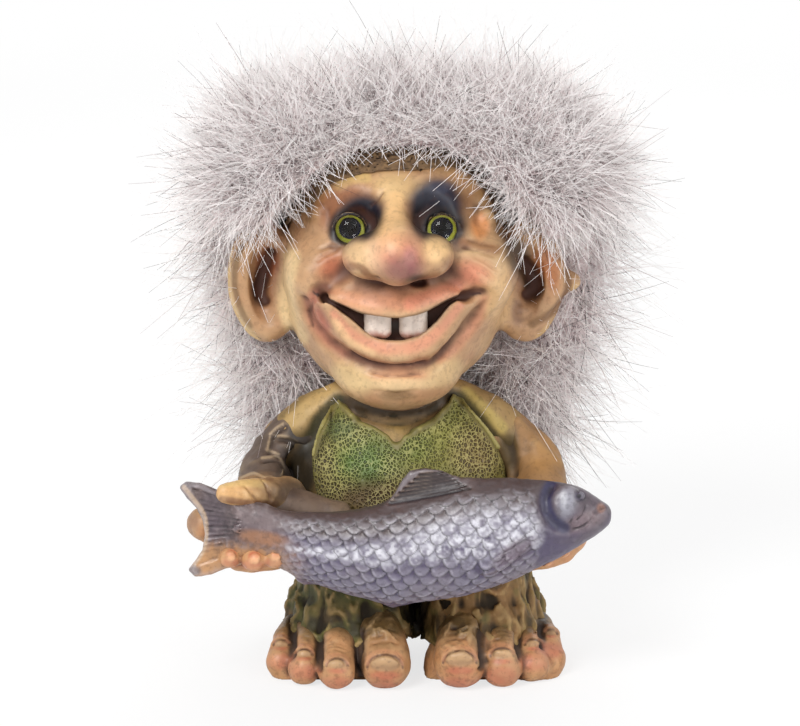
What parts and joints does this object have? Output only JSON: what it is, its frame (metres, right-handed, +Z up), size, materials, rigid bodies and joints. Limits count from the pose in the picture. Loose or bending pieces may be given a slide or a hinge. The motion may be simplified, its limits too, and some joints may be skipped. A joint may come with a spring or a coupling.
{
  "type": "folk troll figurine",
  "caption": "Hand-painted folk troll ornament with a big nose, glass eyes, a grin and a long fur wig, standing barefoot and holding a fish across its belly.",
  "frame": {"origin": "centre of the bounding box on the ground plane, under the two soles", "axes": "+Z up from the soles to the crown of the wig, -Y the way the face looks, +X towards the figure's left hand and the fish's head"},
  "size_m": [0.0988, 0.0757, 0.1332],
  "materials": {
    "skin": "hand-painted casting, matt, with a dark wash in the creases",
    "iris": "gloss paint behind the glass",
    "pupil": "gloss paint behind the glass",
    "eye_glass": "clear, polished",
    "tooth": "painted, satin",
    "vest": "hand-painted casting, knitted relief",
    "sleeve": "hand-painted casting, matt",
    "fish": "painted scales, satin",
    "trousers": "hand-painted casting, matt",
    "hide": "raw back of the fur",
    "fur": "long fine natural-looking fur"
  },
  "bodies": {
    "root": {"head": "skin", "right_eye_iris": "iris", "left_eye_iris": "iris", "right_eye_pupil": "pupil", "left_eye_pupil": "pupil", "right_eye_glass": "eye_glass", "left_eye_glass": "eye_glass", "right_tooth": "tooth", "left_tooth": "tooth", "torso": "skin", "vest": "vest", "fish": "fish", "right_sleeve": "sleeve", "left_sleeve": "sleeve", "right_hand": "skin", "left_hand": "skin", "trousers": "trousers", "right_foot": "skin", "left_foot": "skin", "wig_hide": "hide", "fur_wig": "fur"}
  },
  "joints": []
}
